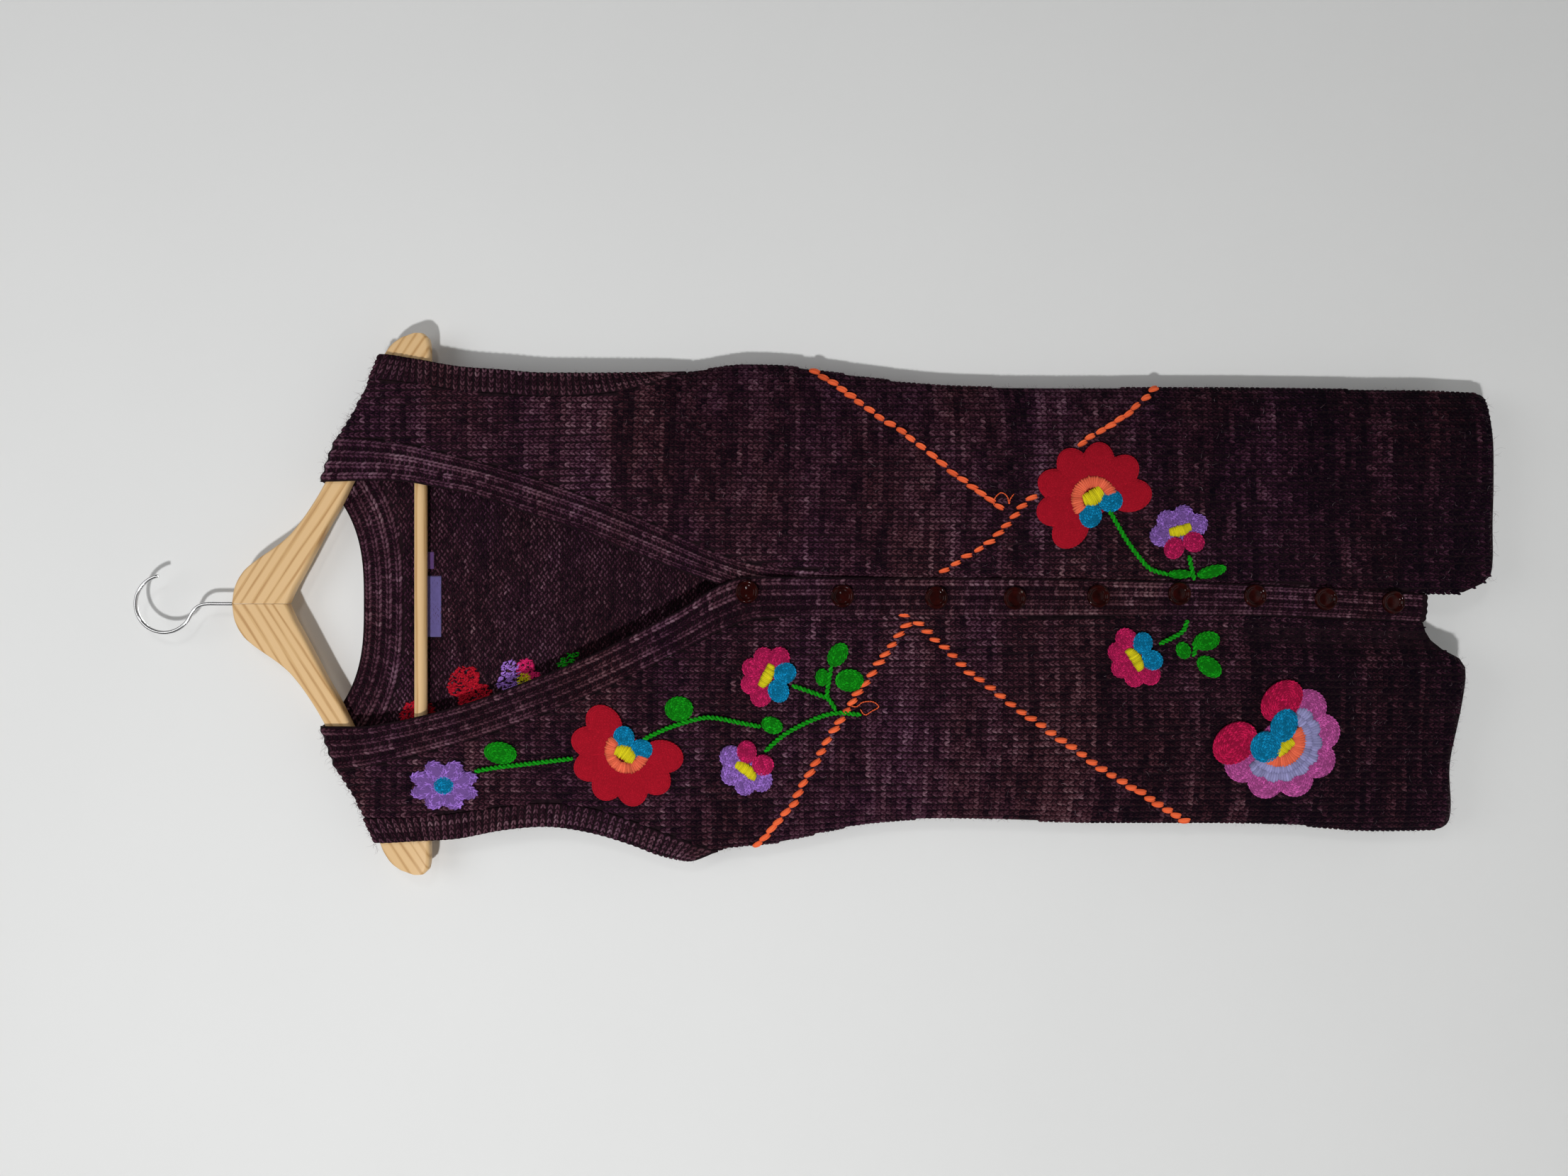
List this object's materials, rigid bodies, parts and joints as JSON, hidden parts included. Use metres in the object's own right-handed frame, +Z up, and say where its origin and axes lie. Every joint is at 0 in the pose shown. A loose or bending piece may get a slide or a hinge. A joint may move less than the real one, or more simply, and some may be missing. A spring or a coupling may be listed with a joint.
{
  "type": "embroidered folk vest on a wooden hanger",
  "caption": "Long sleeveless V-neck knitted waistcoat with ribbed bands, round buttons and raised folk flowers, hanging flat on a wooden hanger with a trouser bar.",
  "frame": {"origin": "inside the top of the hanger's hook, where a rail or nail carries it, in the hanger's middle plane", "axes": "+Z up; the fronts face -Y; +X is the viewer's right, the wearer's left"},
  "size_m": [0.443, 0.0449, 1.107],
  "materials": {
    "plum_knit": "chunky stocking-stitch knit in heathered plum and navy yarn, matt and hairy",
    "ribbed_knit": "ribbed knit of the same heathered plum yarn",
    "button": "glossy dark brown translucent resin with a raised rim",
    "label": "woven violet ribbon, blank",
    "pine": "clear-lacquered pale pine",
    "wire": "bright plated steel wire",
    "green_wool": "green wool chain stitch",
    "red_wool": "red felted wool stitch",
    "violet_wool": "violet wool looped stitch",
    "pink_wool": "deep pink wool chain stitch",
    "orchid_wool": "orchid wool chain stitch"
  },
  "bodies": {
    "root": {"arm_band_left_back": "ribbed_knit", "arm_band_left_front": "ribbed_knit", "arm_band_right_back": "ribbed_knit", "arm_band_right_front": "ribbed_knit", "back": "plum_knit", "band_left": "ribbed_knit", "band_neck_back": "ribbed_knit", "band_right": "ribbed_knit", "button_1": "button", "button_2": "button", "button_3": "button", "button_4": "button", "button_5": "button", "button_6": "button", "button_7": "button", "button_8": "button", "button_9": "button", "front_left": "plum_knit", "front_right": "plum_knit", "hanger_arm_left": "pine", "hanger_arm_right": "pine", "hanger_bar": "pine", "hook": "wire", "leaf_back": "green_wool", "leaf_fan_right": "green_wool", "leaf_left_low": "green_wool", "leaf_left_top": "green_wool", "leaf_low_end": "green_wool", "leaf_low_mid": "green_wool", "leaf_low_top": "green_wool", "leaf_rose_right": "green_wool", "leaf_star": "green_wool", "leaf_twig_end": "green_wool", "leaf_twig_low": "green_wool", "leaf_twig_top": "green_wool", "neck_label": "label", "orchid_fan": "orchid_wool", "pink_fan_low": "pink_wool", "pink_fan_right": "pink_wool", "rose_back": "red_wool", "rose_left": "red_wool", "rose_right": "red_wool", "size_tab": "label", "violet_fan_back": "violet_wool", "violet_fan_left": "violet_wool", "violet_fan_right": "violet_wool", "violet_star": "violet_wool"}
  },
  "joints": []
}
